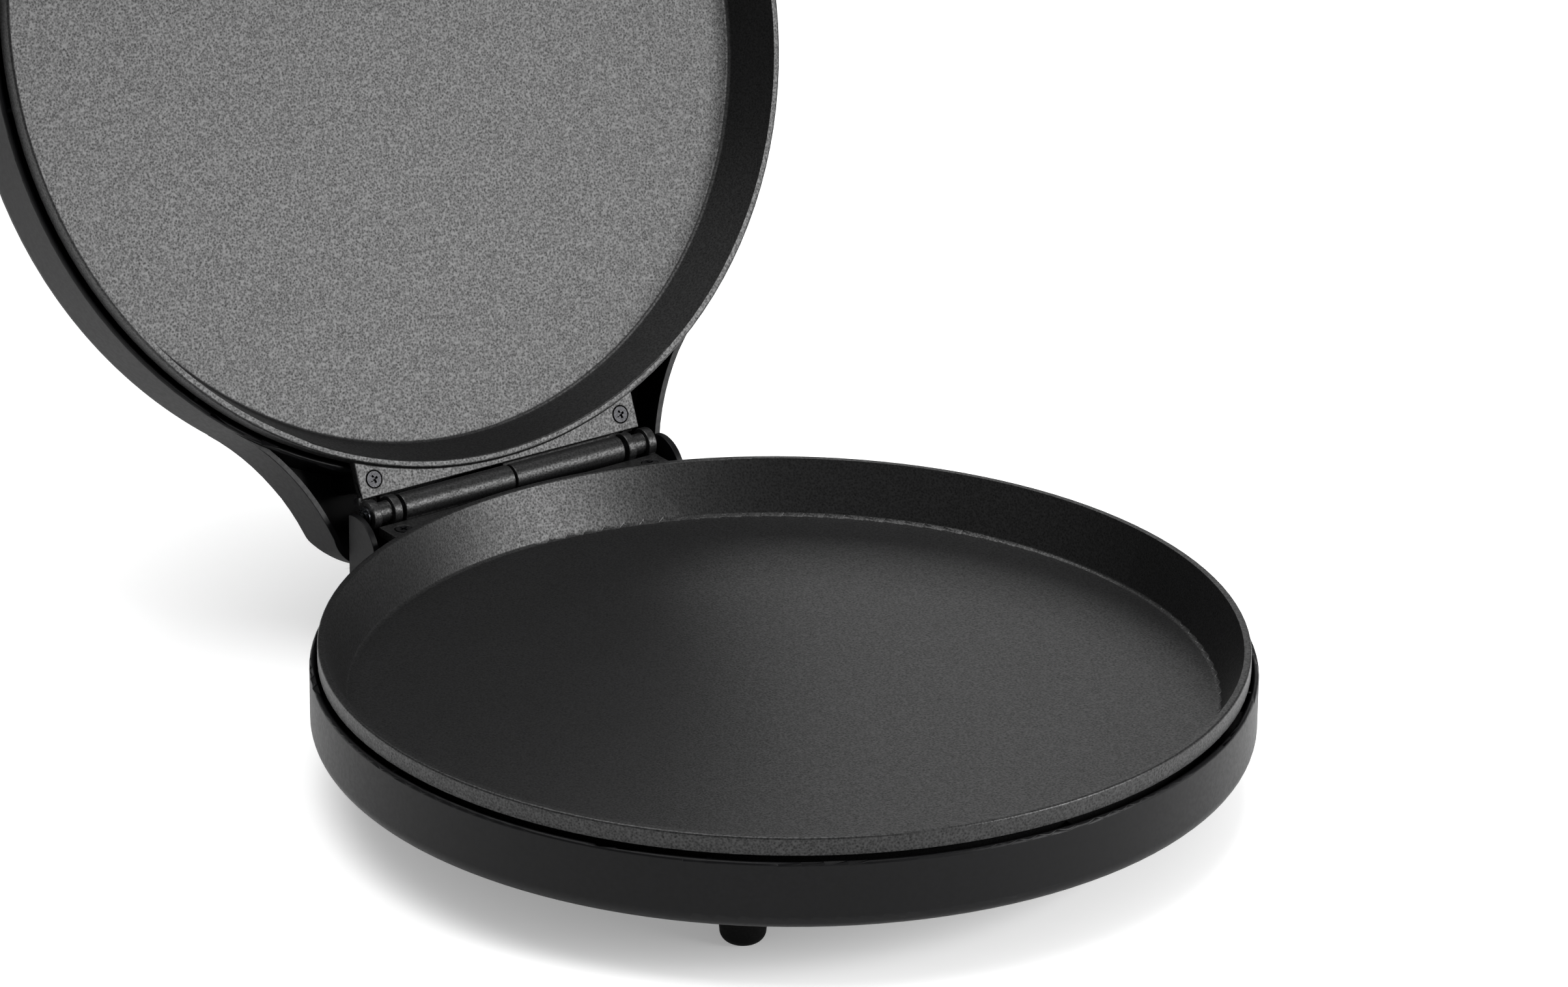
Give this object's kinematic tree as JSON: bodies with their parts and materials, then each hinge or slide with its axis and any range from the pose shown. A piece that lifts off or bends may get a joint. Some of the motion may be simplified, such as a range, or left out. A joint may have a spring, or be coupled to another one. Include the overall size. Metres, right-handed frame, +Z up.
{
  "type": "electric pizza maker",
  "caption": "Round countertop pizza maker with cast baking plates above and below, a rear-hinged lid, a bar handle and rubber feet.",
  "frame": {"origin": "middle of the footprint of the whole, lid open, on the surface that the four feet stand on", "axes": "+X to the object's right seen from its front, +Y from the front to the hinge, +Z up"},
  "size_m": [0.3164, 0.495, 0.3822],
  "materials": {
    "casing_plastic": "moulded black phenolic, satin",
    "handle_plastic": "moulded black phenolic, satin",
    "coated_cast_aluminium": "cast, with a speckled dark non-stick coating",
    "heater_steel": "heat-dulled tube",
    "shield_sheet": "bare rolled sheet",
    "zinc_screw": "zinc plated",
    "black_screw": "black oxide",
    "foot_rubber": "moulded, matt",
    "pin_steel": "drawn rod",
    "bushing_nylon": "moulded black nylon",
    "ceramic_white": "pressed, off-white",
    "fuse_brass": "plain",
    "thermostat_phenolic": "pressed",
    "lens_red": "clear red",
    "lens_green": "clear green",
    "lamp_glass": "clear",
    "lead_glass_sleeve": "woven glass sleeve"
  },
  "bodies": {
    "base": {"base_casing": "casing_plastic", "lower_plate": "coated_cast_aluminium", "lower_element": "heater_steel", "lower_heat_shield": "shield_sheet", "lower_shield_screws": "zinc_screw", "lower_hinge_screws": "black_screw", "base_screw": "zinc_screw", "foot_front_left": "foot_rubber", "foot_front_right": "foot_rubber", "foot_rear_left": "foot_rubber", "foot_rear_right": "foot_rubber", "hinge_pin": "pin_steel", "pin_clips": "pin_steel", "cord_bushing": "bushing_nylon", "terminal_block": "ceramic_white", "thermal_fuse": "fuse_brass", "fuse_clamp": "shield_sheet", "lower_leads": "lead_glass_sleeve"},
    "lid": {"lid_casing": "casing_plastic", "upper_plate": "coated_cast_aluminium", "upper_element": "heater_steel", "upper_heat_shield": "shield_sheet", "upper_shield_screws": "zinc_screw", "upper_hinge_screws": "black_screw", "lid_screw": "zinc_screw", "handle": "handle_plastic", "handle_screws": "zinc_screw", "thermostat": "thermostat_phenolic", "thermostat_clamp": "shield_sheet", "power_lens": "lens_red", "ready_lens": "lens_green", "indicator_lamps": "lamp_glass", "lamp_holder": "ceramic_white", "upper_leads": "lead_glass_sleeve"}
  },
  "joints": [
    {"name": "lid_hinge", "type": "hinge", "parent": "base", "child": "lid", "pos_m": [0, 0.07376, 0.054], "axis": [1, 0, 0], "range_deg": [0, 112.6]}
  ]
}
